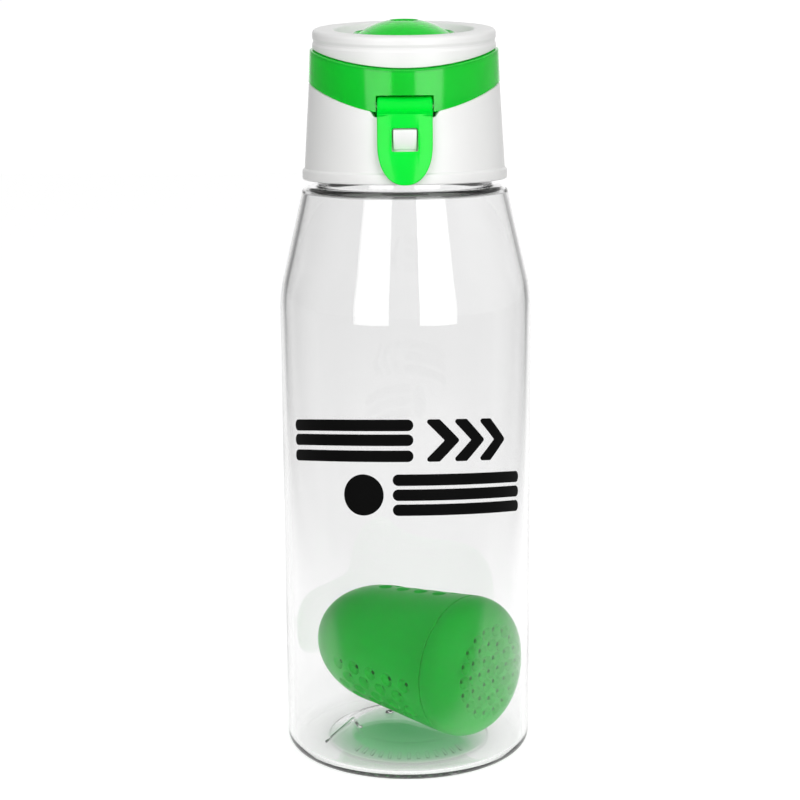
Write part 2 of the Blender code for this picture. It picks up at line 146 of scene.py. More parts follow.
# Lid
GAP = 0.3
LID_SLOPE = 0.1017        # the lid's top leans down to the front
LID_TOP_Z = 240.8
DISH_Z = LID_TOP_Z - 3.0
DECK_T = 1.5              # floor of the white ring's dish
RING_LEVEL = 230.0        # the ring's lower edge, before it follows its parting line
RING_INNER_R = 27.95
RING_WAIST = 0.35         # depth of the groove round the ring
RING_GROOVE_Z = (236.1, 236.8, 237.4, 238.3)     # start, floor, floor and end
RING_SEAT_R = 23.9        # the dish floor thickens outside this
RING_SEAT = 1.2
RIM_R = 22.6
DISH_R = 21.8
DOME_R = 16.3
DOME_BALL_R = 26.0
DOME_T = 1.7
DOME_INNER_R = 14.5
RECESS_R = 4.4            # the small recess in the middle of the dome
RECESS_DEPTH = 0.9
CAP_R = 27.65             # the shell's inner cap wall
CAP_INNER_R = 25.9
CAP_ROOF_T = 1.8
CAP_LEVEL = 205.0         # the cap wall's foot, before it follows the parting line
BAND_R = 31.87            # at CAP_LEVEL
BAND_TAPER = 0.0477
BAND_WALL = 2.1
BAND_INNER_R = 27.2
BAND_ROOF_T = 1.6
BAND_LEVELS = (215.0, 230.0)         # the band's edges, before they follow the parting lines
LINER_T = 1.4
PLUG_DEPTH = 1.4          # how far the seal's plug reaches into the spout
PLUG_PLAY = 1.5           # and how much slimmer than the spout's bore it is
SEAL_R = 13.8

# Side-view arcs of the parting lines: level from the vertex to the back, falling to the front
PARTING_ARC = (4.0, 223.8, 67.7)      # vertex y, vertex z, radius
RING_EDGE_ARC = (11.3, 235.3, 123.6)

# Latch
LATCH_HALF = 8.6
LATCH_TIP_Z = 192.9
LATCH_ROUND_Z = 205.6
TONGUE_TOP_Z = 214.7
TONGUE_R = 31.8           # its inner face at TONGUE_R_Z
TONGUE_R_Z = 213.8
TONGUE_FLARE = 0.103      # growth of that radius per millimetre down
TONGUE_T = 1.8
WINDOW_HALF = 4.05
WINDOW_Z = (203.2, 210.3)
BARREL_R = 3.0

# Infuser
INFUSER_L = 73.5
CAP_END_R = 23.6
TIP_END_R = 20.5
DOME_L = 30.0
END_ROUND = 10.0
SEAM = 11.0
INFUSER_WALL = 1.6
SPIGOT_R = 21.2
SPIGOT_L = 16.0
HOLE_R = 0.75
DIMPLE_R = 2.6
DIMPLE_DEPTH = 1.45
HOLE_PITCH = 8.0
FIRST_HOLE = 18.5         # from the cap's end face
HOLE_PATCHES = (-27.0, 111.0, 231.0)             # degrees round the basket
HOLE_ROW_TURN = 13.0      # degrees between two rows
CAP_DIMPLE_R = 2.2
CAP_DIMPLE_DEPTH = 1.3
CAP_HOLE_PITCH = 4.7


# ---------------------------------------------------------------- modelling helpers

def rounded(corners, steps=6):
    """Turn (r, z) or (r, z, radius) corners into points, with an arc at each rounded one."""
    points = []
    for i, corner in enumerate(corners):
        here = Vector(corner[:2])
        radius = corner[2] if len(corner) > 2 else 0.0
        if not radius:
            points.append(tuple(here))
            continue
        to_last = (Vector(corners[i - 1][:2]) - here).normalized()
        to_next = (Vector(corners[(i + 1) % len(corners)][:2]) - here).normalized()
        half = to_last.angle(to_next) / 2.0
        centre = here + (to_last + to_next).normalized() * (radius / math.sin(half))
        start = here + to_last * (radius / math.tan(half)) - centre
        end = here + to_next * (radius / math.tan(half)) - centre
        sweep = start.angle_signed(end)
        for step in range(steps + 1):
            turned_by = start.copy()
            turned_by.rotate(Matrix.Rotation(-sweep * step / steps, 2))
            points.append(tuple(centre + turned_by))
    return points


def turned(profile, sides=SIDES):
    """Spin a chain of (r, z) points about Z. A chain that starts on the axis stays open."""
    bm = bmesh.new()
    chain = [bm.verts.new((r, 0.0, z)) for r, z in profile]
    pairs = list(zip(chain, chain[1:]))
    if profile[0][0] > 0.0:
        pairs.append((chain[-1], chain[0]))
    edges = [bm.edges.new(pair) for pair in pairs]
    bmesh.ops.spin(bm, geom=chain + edges, cent=(0, 0, 0), axis=(0, 0, 1),
                   angle=math.tau, steps=sides, use_merge=True)
    return tidy(bm)


def tidy(bm):
    bmesh.ops.remove_doubles(bm, verts=bm.verts, dist=0.0005)
    bmesh.ops.recalc_face_normals(bm, faces=bm.faces)
    return bm


def prism(outline, depth):
    """Extrude a flat outline of 3-D points by a vector."""
    bm = bmesh.new()
    face = bm.faces.new([bm.verts.new(point) for point in outline])
    grown = bmesh.ops.extrude_face_region(bm, geom=[face])
    moved = [item for item in grown["geom"] if isinstance(item, bmesh.types.BMVert)]
    bmesh.ops.translate(bm, verts=moved, vec=depth)
    return tidy(bm)


def prism_x(outline, half):
    return prism([(-half, y, z) for y, z in outline], (2.0 * half, 0, 0))


def soften(bm, width, angle=40.0, segments=3):
    """Bevel the edges sharper than an angle."""
    edges = [e for e in bm.edges if e.is_manifold and e.calc_face_angle() > math.radians(angle)]
    bmesh.ops.bevel(bm, geom=edges, offset=width, offset_type="OFFSET", segments=segments,
                    profile=0.5, affect="EDGES", material=-1, clamp_overlap=True)
    return bm


def rod_x(centre_y, centre_z, radius, half, chamfer=0.15, sides=FINE_SIDES):
    """A round bar along X with small chamfers."""
    bm = turned([(0.0, -half), (radius - chamfer, -half), (radius, chamfer - half),
                 (radius, half - chamfer), (radius - chamfer, half), (0.0, half)], sides)
    bmesh.ops.rotate(bm, verts=bm.verts, cent=(0, 0, 0), matrix=Matrix.Rotation(math.pi / 2, 3, "Y"))
    bmesh.ops.translate(bm, verts=bm.verts, vec=(0, centre_y, centre_z))
    return bm


def as_mesh(bm, name):
    mesh = bpy.data.meshes.new(name)
    bm.to_mesh(mesh)
    bm.free()
    return mesh


def combine(bm, operation, *others):
    """Join other closed solids to a solid, or cut them from it, one after another."""
    for other in others:
        work = [bpy.data.objects.new("work", as_mesh(each, "work")) for each in (bm, other)]
        for obj in work:
            bpy.context.scene.collection.objects.link(obj)
        mod = work[0].modifiers.new("combine", "BOOLEAN")
        mod.operation = operation
        mod.solver = "EXACT"
        mod.object = work[1]
        bpy.context.view_layer.update()
        result = work[0].evaluated_get(bpy.context.evaluated_depsgraph_get())
        bm = bmesh.new()
        bm.from_mesh(result.to_mesh())
        result.to_mesh_clear()
        for obj in work:
            mesh = obj.data
            bpy.data.objects.remove(obj)
            bpy.data.meshes.remove(mesh)
    return bm


def gather(*parts):
    """Put separate bmeshes into one."""
    bm = bmesh.new()
    for part in parts:
        mesh = as_mesh(part, "part")
        bm.from_mesh(mesh)
        bpy.data.meshes.remove(mesh)
    return bm


def finish(name, bm, body, mat, slot, *nodes, sharp=40.0):
    """Make the finished piece in metres, ride it on its body and let it stand for its nodes."""
    bmesh.ops.remove_doubles(bm, verts=bm.verts, dist=0.0005)
    bmesh.ops.dissolve_degenerate(bm, edges=bm.edges, dist=0.0005)
    bmesh.ops.scale(bm, vec=(MM, MM, MM), verts=bm.verts)
    mesh = as_mesh(bm, name)
    mesh.shade_smooth()
    mesh.set_sharp_from_angle(angle=math.radians(sharp))
    mesh.materials.append(mat)
    obj = bpy.data.objects.new(name, mesh)
    bpy.context.scene.collection.objects.link(obj)
    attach(obj, body)
    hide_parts(*nodes)
    return obj


def arc_z(arc, y):
    """Height of a side-view arc at y."""
    vertex_y, vertex_z, radius = arc
    run = max(0.0, vertex_y - y)
    return vertex_z - (radius - math.sqrt(radius * radius - run * run))


def slide_wall(verts, target_z, rest_z, moves, growth, inner_r):
    """Slide a wall's top from a level height to target_z(x, y), on its own cone.

    It starts to move at the first height in moves, and moves in full above the second.
    """
    still_z, full_z = moves
    for vert in verts:
        share = min(1.0, max(0.0, (vert.co.z - still_z) / (full_z - still_z)))
        rise = share * (target_z(vert.co.x, vert.co.y) - rest_z)
        radius = math.hypot(vert.co.x, vert.co.y)
        if radius > inner_r:
            scale = (radius + growth * rise) / radius
            vert.co.x *= scale
            vert.co.y *= scale
        vert.co.z += rise


def lean(bm, verts=None):
    """Lean level faces down to the front, as on the lid's top."""
    matrix = Matrix.Identity(4)
    matrix[2][1] = LID_SLOPE
    bmesh.ops.transform(bm, matrix=matrix, verts=verts or bm.verts)


def thread(root_r, height, start_z):
    """A helical rib. A negative height grows inwards."""
    foot_r, crest_r, crest_edge_r = root_r + math.copysign(ROOT, -height), root_r + height, 0.25
    section = rounded([(foot_r, -THREAD_ROOT_HALF), (root_r, -THREAD_ROOT_HALF),
                       (crest_r, -THREAD_CREST_HALF, crest_edge_r),
                       (crest_r, THREAD_CREST_HALF, crest_edge_r),
                       (root_r, THREAD_ROOT_HALF), (foot_r, THREAD_ROOT_HALF)], steps=2)
    bm = bmesh.new()
    face = bm.faces.new([bm.verts.new((r, 0.0, start_z + z)) for r, z in section])
    steps = int(96 * TURNS)                      # 96 to a turn
    bmesh.ops.spin(bm, geom=list(face.verts) + list(face.edges) + [face], cent=(0, 0, 0),
                   axis=(0, 0, 1), dvec=(0, 0, PITCH * TURNS / steps),
                   angle=math.tau * TURNS, steps=steps)
    return tidy(bm)


# ---------------------------------------------------------------- materials

def linear(hex_colour):
    """sRGB hex to the linear colour that a shader takes."""
    channels = [int(hex_colour[i:i + 2], 16) / 255.0 for i in (0, 2, 4)]
    toned = [c / 12.92 if c <= 0.04045 else ((c + 0.055) / 1.055) ** 2.4 for c in channels]
    return (*toned, 1.0)


def fill(tree, node, inputs):
    """Give a node's inputs their values. A value is a constant, or another node's socket to link."""
    for key, value in inputs.items():
        if isinstance(value, bpy.types.NodeSocket):
            tree.links.new(value, node.inputs[key])
        else:
            node.inputs[key].default_value = value
    return node


def add(tree, kind, inputs=None, **settings):
    """Add a node with its settings and inputs."""
    made = tree.nodes.new(kind)
    for name, value in settings.items():
        setattr(made, name, value)
    return fill(tree, made, inputs or {})


def new_material(name):
    """An empty node tree with a Principled shader and the piece's own coordinates."""
    mat = bpy.data.materials.new(name)
    mat.use_nodes = True
    tree = mat.node_tree
    return mat, tree, tree.nodes["Principled BSDF"], add(tree, "ShaderNodeTexCoord").outputs["Object"]


def per_metre(size_mm):
    """Noise scale whose features are about this many millimetres wide."""
    return 1000.0 / size_mm


def clear_copolyester():
    """Blow-moulded clear copolyester: glassy, faintly grey, with a slow ripple in the wall."""
    mat, tree, shader, place = new_material("clear_blow_moulded_copolyester")
    ripple = add(tree, "ShaderNodeTexNoise", {"Vector": place, "Scale": per_metre(38.0),
                                              "Detail": 1.0, "Roughness": 0.4})
    bump = add(tree, "ShaderNodeBump", {"Height": ripple.outputs["Fac"], "Strength": 0.10,
                                        "Distance": 0.0006})
    # Handling scuffs: fine patches where the polish is duller
    scuffs = add(tree, "ShaderNodeTexNoise", {"Vector": place, "Scale": per_metre(6.0),
                                              "Detail": 5.0, "Roughness": 0.7})
    rough = add(tree, "ShaderNodeMapRange", {"Value": scuffs.outputs["Fac"], "From Min": 0.45,
                                             "From Max": 0.8, "To Min": 0.0, "To Max": 0.06})
    fill(tree, shader, {"Base Color": linear("F7F7F7"), "Roughness": rough.outputs["Result"],
                        "Normal": bump.outputs["Normal"], "Transmission Weight": 1.0,
                        "IOR": 1.54, "Specular IOR Level": 0.22})
    return mat


def white_polypropylene():
    """Injection-moulded polypropylene: milky white, satin, with a fine spark-eroded grain."""
    mat, tree, shader, place = new_material("satin_white_polypropylene")
    cloud = add(tree, "ShaderNodeTexNoise", {"Vector": place, "Scale": per_metre(14.0), "Detail": 2.0})
    tone = add(tree, "ShaderNodeMix", {"Factor": cloud.outputs["Fac"], "A": linear("E6E6E5"),
                                       "B": linear("EBEBEA")}, data_type="RGBA")
    # The grain is about 0.1 mm on the tool; it is drawn at 0.35 mm so that it shows
    grain = add(tree, "ShaderNodeTexNoise", {"Vector": place, "Scale": per_metre(0.35), "Detail": 2.0})
    bump = add(tree, "ShaderNodeBump", {"Height": grain.outputs["Fac"], "Strength": 0.12,
                                        "Distance": 0.00005})
    rough = add(tree, "ShaderNodeMapRange", {"Value": grain.outputs["Fac"], "To Min": 0.30,
                                             "To Max": 0.42})
    fill(tree, shader, {"Base Color": tone.outputs[2], "Roughness": rough.outputs["Result"],
                        "Normal": bump.outputs["Normal"], "IOR": 1.49,
                        "Subsurface Weight": 0.12, "Subsurface Scale": 0.0015,
                        "Subsurface Radius": (1.0, 1.0, 1.0)})
    return mat


def clear_green_copolyester(name, see_through):
    """Polished tinted copolyester: vivid green that darkens where the wall is seen edge on."""
    mat, tree, shader, place = new_material(name)
    flow = add(tree, "ShaderNodeTexNoise", {"Vector": place, "Scale": per_metre(9.0), "Detail": 2.0})
    tone = add(tree, "ShaderNodeMix", {"Factor": flow.outputs["Fac"], "A": linear("00F838"),
                                       "B": linear("00FF46")}, data_type="RGBA")
    rough = add(tree, "ShaderNodeMapRange", {"Value": flow.outputs["Fac"], "To Min": 0.10,
                                             "To Max": 0.16})
    bump = add(tree, "ShaderNodeBump", {"Height": flow.outputs["Fac"], "Strength": 0.08,
                                        "Distance": 0.0002})
    fill(tree, shader, {"Base Color": tone.outputs[2], "Roughness": rough.outputs["Result"],
                        "Normal": bump.outputs["Normal"], "Transmission Weight": see_through,
                        "IOR": 1.54, "Specular IOR Level": 0.1})
    return mat


def matte_green_polypropylene():
    """Injection-moulded polypropylene, matt from a blasted tool, with a soft waxy glow."""
    mat, tree, shader, place = new_material("matt_green_polypropylene")
    cloud = add(tree, "ShaderNodeTexNoise", {"Vector": place, "Scale": per_metre(16.0), "Detail": 2.0})
    tone = add(tree, "ShaderNodeMix", {"Factor": cloud.outputs["Fac"], "A": linear("00D834"),
                                       "B": linear("00E440")}, data_type="RGBA")
    # A blasted finish of about 0.1 mm, drawn at 0.4 mm so that it shows
    grain = add(tree, "ShaderNodeTexNoise", {"Vector": place, "Scale": per_metre(0.4), "Detail": 2.0})
    rough = add(tree, "ShaderNodeMapRange", {"Value": grain.outputs["Fac"], "To Min": 0.30,
                                             "To Max": 0.40})
    bump = add(tree, "ShaderNodeBump", {"Height": grain.outputs["Fac"], "Strength": 0.15,
                                        "Distance": 0.00006})
    fill(tree, shader, {"Base Color": tone.outputs[2], "Roughness": rough.outputs["Result"],
                        "Normal": bump.outputs["Normal"], "IOR": 1.49,
                        "Specular IOR Level": 0.15, "Subsurface Weight": 0.3,
                        "Subsurface Scale": 0.0008, "Subsurface Radius": (0.3, 1.0, 0.5)})
    return mat


def silicone():
    """Pressed silicone rubber: cloudy, soft sheen, lets some light through."""
    mat, tree, shader, place = new_material("cloudy_silicone_rubber")
    cloud = add(tree, "ShaderNodeTexNoise", {"Vector": place, "Scale": per_metre(5.0), "Detail": 3.0})
    tone = add(tree, "ShaderNodeMix", {"Factor": cloud.outputs["Fac"], "A": linear("D6D8D6"),
                                       "B": linear("E6E7E4")}, data_type="RGBA")
    rough = add(tree, "ShaderNodeMapRange", {"Value": cloud.outputs["Fac"], "To Min": 0.42,
                                             "To Max": 0.58})
    fill(tree, shader, {"Base Color": tone.outputs[2], "Roughness": rough.outputs["Result"],
                        "IOR": 1.41, "Subsurface Weight": 0.3, "Subsurface Scale": 0.002})
    return mat


def stainless_wire():
    """Drawn stainless wire: bright steel with fine lines along its length."""
    mat, tree, shader, place = new_material("drawn_stainless_steel")
    # Drawing lines about 0.1 mm apart round the wire and long along X
    along = add(tree, "ShaderNodeMapping", {"Vector": place, "Scale": (0.02, 1.0, 1.0)})
    lines = add(tree, "ShaderNodeTexNoise", {"Vector": along.outputs["Vector"],
                                             "Scale": per_metre(0.1), "Detail": 2.0})
    tone = add(tree, "ShaderNodeMix", {"Factor": lines.outputs["Fac"], "A": linear("B9BABB"),
                                       "B": linear("D2D3D4")}, data_type="RGBA")
    rough = add(tree, "ShaderNodeMapRange", {"Value": lines.outputs["Fac"], "To Min": 0.2,
                                             "To Max": 0.4})
    fill(tree, shader, {"Base Color": tone.outputs[2], "Roughness": rough.outputs["Result"],
                        "Metallic": 1.0})
    return mat


def screen_ink():
    """Screen-printed ink: dense black, satin, with the weave of the screen just in it."""
    mat, tree, shader, place = new_material("black_screen_printed_ink")
    mesh = add(tree, "ShaderNodeTexNoise", {"Vector": place, "Scale": per_metre(0.5), "Detail": 2.0})
    tone = add(tree, "ShaderNodeMix", {"Factor": mesh.outputs["Fac"], "A": linear("000000"),
                                       "B": linear("050505")}, data_type="RGBA")
    rough = add(tree, "ShaderNodeMapRange", {"Value": mesh.outputs["Fac"], "To Min": 0.5,
                                             "To Max": 0.65})
    fill(tree, shader, {"Base Color": tone.outputs[2], "Roughness": rough.outputs["Result"],
                        "Specular IOR Level": 0.08})
    return mat


# ---------------------------------------------------------------- the bottle

def bottle_profile():
    """Section of the blown body from the middle of the base, up the outside and back inside."""
    inner_r = BODY_R - WALL
    cone = (BODY_R - SHOULDER_R) / (SHOULDER_Z - KNEE_Z)
    roof = SHOULDER_Z - WALL
    shoulder_inner_r = SHOULDER_R + cone * WALL - WALL * math.hypot(1.0, cone)
    return rounded([
        (0.0, PUSH_UP_RISE),
        (PUSH_UP_R - 1.0, PUSH_UP_EDGE, PUSH_UP_BLEND_R),
        (FOOT_INNER_R, 0.0, 1.5),
        (BODY_R, 0.0, BASE_CORNER_R),
        (BODY_R, KNEE_Z, KNEE_R),
        (SHOULDER_R, SHOULDER_Z, SHOULDER_EDGE_R),
        (NECK_R, SHOULDER_Z, 0.8),
        (NECK_R, NECK_TOP_Z, 0.5),
        (BORE_R, NECK_TOP_Z, 0.5),
        (BORE_R, roof, 1.0),
        (shoulder_inner_r, roof, 1.0),
        (inner_r, KNEE_Z, KNEE_R),
        (inner_r, FLOOR_Z, BASE_CORNER_R - WALL),
        (FOOT_INNER_R + 0.6, FLOOR_Z, 1.5),
        (PUSH_UP_R, FLOOR_Z + PUSH_UP_EDGE, PUSH_UP_BLEND_R),
        (0.0, FLOOR_Z + PUSH_UP_RISE),
    ], steps=10)


def small_bar(start, end, width, height):
    """A bar of rectangular section from one point to another, centred on the line."""
    run = end - start
    bm = bmesh.new()
    bmesh.ops.create_cube(bm, size=1.0)
    bmesh.ops.scale(bm, vec=(width, height, run.length), verts=bm.verts)
    turn = run.to_track_quat("Z", "Y").to_matrix().to_4x4()
    bmesh.ops.transform(bm, matrix=Matrix.Translation((start + end) / 2.0) @ turn, verts=bm.verts)
    return soften(bm, 0.12, segments=2)


def floor_marks():
    """Moulded marks on the base: plain dashes round the front, a bent rib and two gate dots."""
    slope = PUSH_UP_EDGE / (FOOT_INNER_R - PUSH_UP_R)
    dash_from_r, dash_to_r, dash_turn = 22.0, 24.6, 7.5
    marks = []
    for i in range(-6, 7):
        turn = math.radians(dash_turn * i)
        out = Vector((math.sin(turn), -math.cos(turn), 0.0))
        inner, outer = (out * r + Vector((0, 0, (FOOT_INNER_R - r) * slope))
                        for r in (dash_from_r, dash_to_r))
        marks.append(small_bar(inner, outer, 1.1, 0.8))
    rib = [(-28.0, -10.2), (-26.6, -6.5), (-19.0, 0.9), (-17.2, -6.5), (-15.9, -8.0)]
    line = []
    for x, y in rib:
        rise = min(PUSH_UP_RISE, max(0.0, (FOOT_INNER_R + 0.6 - math.hypot(x, y)) * slope))
        line.append(Vector((x, y, FLOOR_Z + rise + 0.1)))
    marks += [small_bar(start, end, 0.7, 0.9) for start, end in zip(line, line[1:])]
    gates = ((-6.6, 7.8), (10.4, -2.0))
    for x, y in gates:
        dot = turned([(0.0, 0.0), (1.5, 0.0), (1.1, 0.9), (0.0, 1.1)], 24)
        bmesh.ops.translate(dot, verts=dot.verts, vec=(x, y, FLOOR_Z + PUSH_UP_RISE - 0.8))
        marks.append(dot)
    return marks


def build_bottle(mat):
    bm = combine(turned(bottle_profile()), "UNION", thread(NECK_R, THREAD_HEIGHT, NECK_THREAD_Z),
                 *floor_marks())
    finish("bottle_shell", bm, "bottle", mat, "clear_copolyester", "bottle_body")


def wrapped(bm, radius, thickness):
    """Wrap flat artwork in (x = arc length, z) round the bottle and give it thickness.

    The artwork's rows drop a little from the middle to either side.
    """
    half_span, step = 50.0, 1.25
    for i in range(1, int(2 * half_span / step)):
        bmesh.ops.bisect_plane(bm, geom=bm.verts[:] + bm.edges[:] + bm.faces[:],
                               plane_co=(i * step - half_span, 0, 0), plane_no=(1, 0, 0))
    grown = bmesh.ops.extrude_face_region(bm, geom=bm.faces[:])
    outer = {item for item in grown["geom"] if isinstance(item, bmesh.types.BMVert)}
    for vert in bm.verts:
        r = radius + (thickness if vert in outer else 0.0)
        turn = vert.co.x / radius
        drop = ROW_DROP * (vert.co.x / ROW_REACH) ** 2
        vert.co = Vector((r * math.sin(turn), -r * math.cos(turn), vert.co.z - drop))
    return tidy(bm)


def flat_shape(corners, steps=8):
    bm = bmesh.new()
    bm.faces.new([bm.verts.new((x, 0.0, z)) for x, z in rounded(corners, steps)])
    return bm


def stripe(left, right, low, high):
    radius = 0.49 * (high - low)
    return flat_shape([(left, low, radius), (right, low, radius), (right, high, radius),
                       (left, high, radius)])


def chevron(left, low, high, thick):
    """A bold arrow head that points right."""
    middle = (low + high) / 2.0
    reach = (high - low) / 2.0
    r, notch_r = 0.8, 0.3
    return flat_shape([(left, low, r), (left + thick, low, r), (left + thick + reach, middle, r),
                       (left + thick, high, r), (left, high, r), (left + reach, middle, notch_r)])


def disc(centre_x, centre_z, radius):
    bm = bmesh.new()
    bmesh.ops.create_circle(bm, cap_ends=True, segments=72, radius=radius,
                            matrix=Matrix.Rotation(math.pi / 2, 4, "X"))
    bmesh.ops.translate(bm, verts=bm.verts, vec=(centre_x, 0, centre_z))
    return bm


def build_print(mat):
    """A generic printed graphic of speed stripes, arrow heads and a dot."""
    art = []
    for (bottom, top), middle, left, right in ((TOP_ROW, 5.15, -43.5, 2.0),
                                               (LOW_ROW, 4.85, -4.6, 44.0)):
        for low in (bottom, bottom + middle, top - STRIPE_H):
            art.append(stripe(left, right, low, low + STRIPE_H))
    for i in range(3):
        art.append(chevron(5.2 + 9.2 * i, *TOP_ROW, CHEVRON_T))
    art.append(disc(-14.2, sum(LOW_ROW) / 2.0, 6.7))
    finish("printed_stripes", wrapped(gather(*art), BODY_R, PRINT_T), "bottle", mat, None)


# ---------------------------------------------------------------- collar

def collar_top(x, y):
    """The collar's top edge: the parting arc, with a shallow notch for the latch's link."""
    top = arc_z(PARTING_ARC, y)
    if y < LINK_ROOM_Y:
        inside = min(1.0, max(0.0, LINK_ROOM_HALF - abs(x)))
        top = min(top, top + inside * (LINK_ROOM_Z - top))
    return top


def build_collar(mat):
    skirt_top_r = SKIRT_R - (SKIRT_TOP_Z - SKIRT_Z) * SKIRT_TAPER
    skirt = rounded([
        (THREAD_ROOT_R, ROOF_Z, 0.8),
        (THREAD_ROOT_R, LIP_Z, 0.5),
        (LIP_R, LIP_Z, 0.5),
        (LIP_R, LIP_Z + LIP_H, 0.7),
        (SKIRT_R, SKIRT_Z, 0.4),
        (skirt_top_r, SKIRT_TOP_Z, 0.4),
        (RIM_INNER_R, SKIRT_TOP_Z, 0.4),
        (RIM_INNER_R, ROOF_Z + ROOF_T, 1.0),
    ])
    spout = rounded([
        (SPOUT_R + 0.8, ROOF_Z + ROOF_T),
        (SPOUT_R, ROOF_Z + ROOF_T + 0.2, 0.6),
        (SPOUT_TIP_R, SPOUT_TOP_Z, 1.2),
        (SPOUT_BORE_R, SPOUT_TOP_Z, 0.5),
        (SPOUT_BORE_R, ROOF_Z, 0.4),
        (SPOUT_BORE_R + 2.0, ROOF_Z),
    ])[1:-1]
    bm = turned(skirt + spout)
    between_r = 20.0                             # between the spout and the skirt
    inner = [v for v in bm.verts if math.hypot(v.co.x, v.co.y) < between_r]
    bmesh.ops.translate(bm, verts=inner, vec=(0, SPOUT_Y, 0))
    lean(bm, [v for v in inner if v.co.z > SPOUT_TOP_Z - 3.0])
    wall = [v for v in bm.verts if v not in set(inner)]
    outside_r = RIM_INNER_R + 0.4
    slide_wall(wall, collar_top, SKIRT_TOP_Z, SKIRT_MOVES, -SKIRT_TAPER, outside_r)
    female_thread = thread(THREAD_ROOT_R, -THREAD_HEIGHT, NECK_THREAD_Z + PITCH / 2.0)
    bm = combine(bm, "UNION", *hinge_ears(), latch_catch(), female_thread)
    bm = combine(bm, "DIFFERENCE", rod_x(HINGE.y, HINGE.z, PIN_BORE_R, EAR_X[1] + 2.0))
    finish("collar_moulding", bm, "collar", mat, "white_polypropylene", "collar")


def arc_points(centre, radius, start, end, steps):
    angles = [math.radians(start + (end - start) * i / steps) for i in range(steps + 1)]
    return [(centre[0] + radius * math.cos(a), centre[1] + radius * math.sin(a)) for a in angles]


def hinge_ears():
    """Two ears that rise from the back of the skirt to the hinge pin."""
    eye = arc_points((HINGE.y, HINGE.z), HINGE_EYE_R, 180.0, 0.0, 24)
    (inside, outside), (foot, front_step, back_step) = EAR_Y, EAR_Z
    outline = [(inside, foot), (inside, front_step), (outside + 0.1, front_step + 0.2)] + eye
    outline += [(HINGE.y + HINGE_EYE_R, back_step), (outside, foot)]
    inner, outer = EAR_X
    ears = []
    for side in (-1, 1):
        start = min(side * outer, side * inner)
        ears.append(soften(prism([(start, y, z) for y, z in outline], (outer - inner, 0, 0)), 0.3))
    return ears


def latch_catch():
    """The ramped catch that shows in the latch's window."""
    root, toe, crest = CATCH_Y
    room = 0.4
    low, high = WINDOW_Z[0] + room, WINDOW_Z[1] - 0.35
    outline = [(root, low), (toe, low), (crest, high - 0.75), (crest + 0.3, high), (root, high)]
    return soften(prism_x(outline, WINDOW_HALF - room), 0.3)


def build_gasket(mat):
    width, edge_r = 3.0, 0.4
    inner_r, outer_r = GASKET_HIGH.x - width, GASKET_HIGH.x
    low, high = GASKET_LOW.z, GASKET_HIGH.z
    bm = turned(rounded([(inner_r, low, edge_r), (outer_r, low, edge_r),
                         (outer_r, high, edge_r), (inner_r, high, edge_r)]))
    finish("neck_seal_ring", bm, "gasket", mat, "silicone", "neck_gasket")


# ---------------------------------------------------------------- lid

def build_ring(mat):
    waist_r = RING_R - RING_WAIST
    hole_r = DOME_R + GAP
    groove = RING_GROOVE_Z
    bm = turned(rounded([
        (RING_INNER_R, RING_LEVEL, 0.3),
        (RING_R, RING_LEVEL, 0.4),
        (RING_R, groove[0], 0.5),
        (waist_r, groove[1], 0.2),
        (waist_r, groove[2], 0.2),
        (RING_R - 0.05, groove[3], 0.5),
        (RING_R - 0.05, LID_TOP_Z, 1.3),
        (RIM_R, LID_TOP_Z, 1.1),
        (DISH_R, DISH_Z, 0.8),
        (hole_r, DISH_Z, 0.3),
        (hole_r, DISH_Z - DECK_T, 0.2),
        (RING_SEAT_R, DISH_Z - DECK_T),
        (RING_SEAT_R, DISH_Z + RING_SEAT, 0.5),
        (RING_INNER_R, DISH_Z + RING_SEAT, 0.5),
    ]))
    split_z = RING_LEVEL + 2.0
    edge = [v for v in bm.verts if v.co.z < split_z]
    upper = [v for v in bm.verts if v.co.z >= split_z]
    for vert in edge:
        vert.co.z += arc_z(RING_EDGE_ARC, vert.co.y) - RING_LEVEL
    lean(bm, upper)
    finish("lid_top_ring", tidy(bm), "lid", mat, "white_polypropylene", "lid_ring")


def dome_points(drop, radii):
    ball_z = DOME_TOP_Z - DOME_BALL_R
    return [(r, ball_z - drop + math.sqrt(DOME_BALL_R ** 2 - r * r)) for r in radii]


def steps_between(start, end, count):
    return [start + (end - start) * i / count for i in range(count + 1)]


def lid_low_edge(x, y):
    return arc_z(PARTING_ARC, y) + GAP


